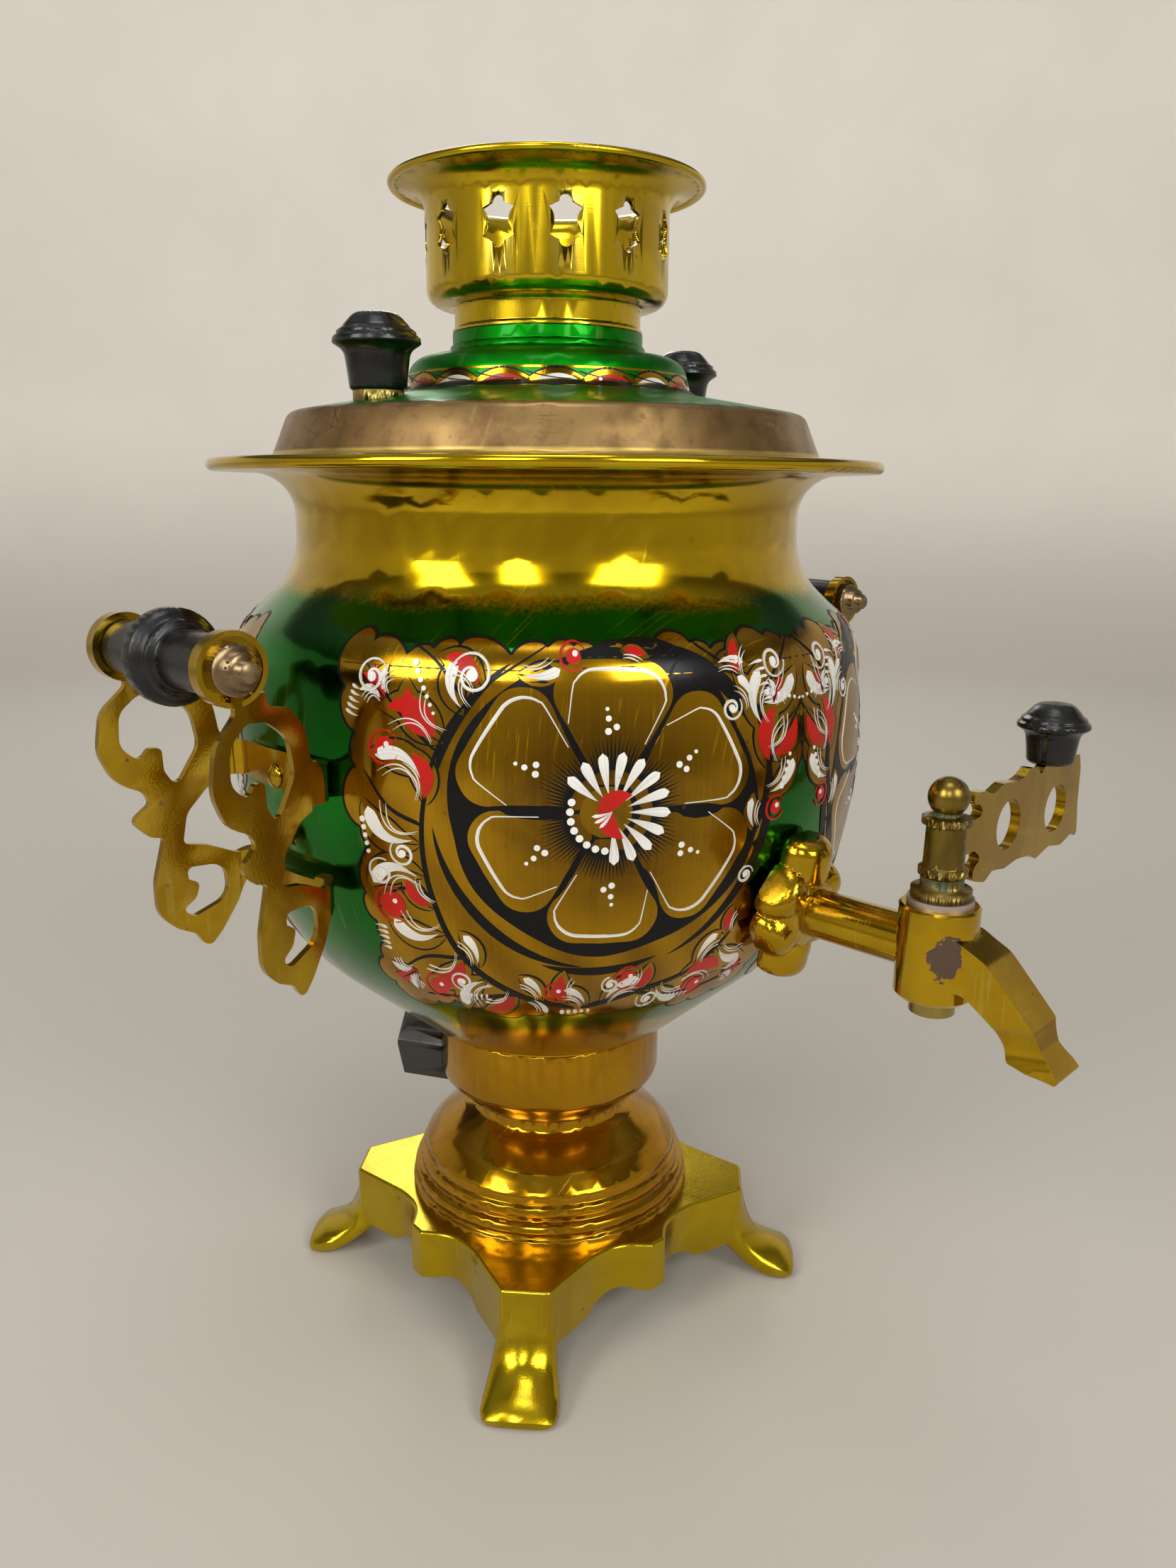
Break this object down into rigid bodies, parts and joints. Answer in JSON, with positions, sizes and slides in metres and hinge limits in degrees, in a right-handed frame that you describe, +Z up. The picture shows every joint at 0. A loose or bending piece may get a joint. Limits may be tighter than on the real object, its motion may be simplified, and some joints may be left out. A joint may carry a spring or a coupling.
{
  "type": "samovar",
  "caption": "Electric samovar with a painted spun vessel, pedestal, four-legged cast base, plug tap, two scroll handles, lift-off lid and pierced crown.",
  "frame": {"origin": "the vessel's axis at table level", "axes": "+Z up; the tap points along -Y, the handles along +X and -X; the mains inlet is 28 degrees from +Y towards -X"},
  "size_m": [0.2744, 0.2755, 0.352],
  "materials": {
    "vessel_lacquer": "tinted gold and green lacquer on spun brass, hand painted",
    "pedestal_lacquer": "gold lacquer on spun brass",
    "base_lacquer": "gold lacquer on cast brass",
    "lid_lacquer": "green and gold lacquer with a tarnished band, hand painted",
    "crown_lacquer": "gold lacquer on spun brass",
    "tap_lacquer": "gold lacquer on cast brass",
    "key_bronze": "bare, darkened",
    "lever_brass": "lacquered casting",
    "handle_brass": "lacquered sheet, darker than the tap",
    "nut_bronze": "bare, grey-brown",
    "black_resin": "polished phenolic resin",
    "inlet_resin": "moulded phenolic resin",
    "carrier_board": "insulating board",
    "plated_steel": "zinc plated",
    "pin_plate": "nickel plated",
    "copper_lead": "bare copper strip",
    "gasket_rubber": "heat-resistant rubber",
    "heater_sheath": "scaled steel sheath",
    "grey_washer": "dull grey alloy",
    "plain_brass": "bare brass"
  },
  "bodies": {
    "samovar": {"vessel_body": "vessel_lacquer", "vessel_floor": "plain_brass", "pedestal": "pedestal_lacquer", "base_casting": "base_lacquer", "tie_rod": "plated_steel", "tie_washer": "plated_steel", "tie_nut": "plated_steel", "heater_element": "heater_sheath", "heater_gaskets": "gasket_rubber", "heater_nuts": "plated_steel", "inlet_shroud": "inlet_resin", "pin_carrier": "carrier_board", "clamp_bar": "plated_steel", "inlet_pins": "pin_plate", "pin_nuts": "plated_steel", "inlet_leads": "copper_lead", "tap_escutcheon": "tap_lacquer", "tap_body": "tap_lacquer", "tap_gasket": "gasket_rubber", "tap_shank_nut": "plain_brass", "key_washer": "grey_washer", "handle_left": "handle_brass", "handle_right": "handle_brass", "grip_left": "black_resin", "grip_right": "black_resin", "rod_left": "plated_steel", "rod_right": "plated_steel", "handle_nuts": "nut_bronze", "handle_rivets": "handle_brass"},
    "tap_plug": {"tap_key": "key_bronze", "key_nut": "key_bronze", "key_lever": "lever_brass", "lever_rivets": "key_bronze", "lever_knob": "black_resin", "lever_screw": "plated_steel"},
    "lid_group": {"lid": "lid_lacquer", "lid_locating_ring": "plain_brass", "lid_knob_left": "black_resin", "lid_knob_right": "black_resin", "lid_ferrules": "plain_brass", "lid_knob_screws": "plated_steel"},
    "crown_group": {"crown": "crown_lacquer"}
  },
  "joints": [
    {"name": "lid_lift", "type": "slide", "parent": "samovar", "child": "lid_group", "axis": [0, 0, 1], "range_m": [0, 0.12]},
    {"name": "crown_lift", "type": "slide", "parent": "lid_group", "child": "crown_group", "axis": [0, 0, 1], "range_m": [0, 0.1]},
    {"name": "key_turn", "type": "hinge", "parent": "samovar", "child": "tap_plug", "pos_m": [0, -0.14, 0.1565], "axis": [0, 0, 1], "range_deg": [-215, 35]}
  ]
}
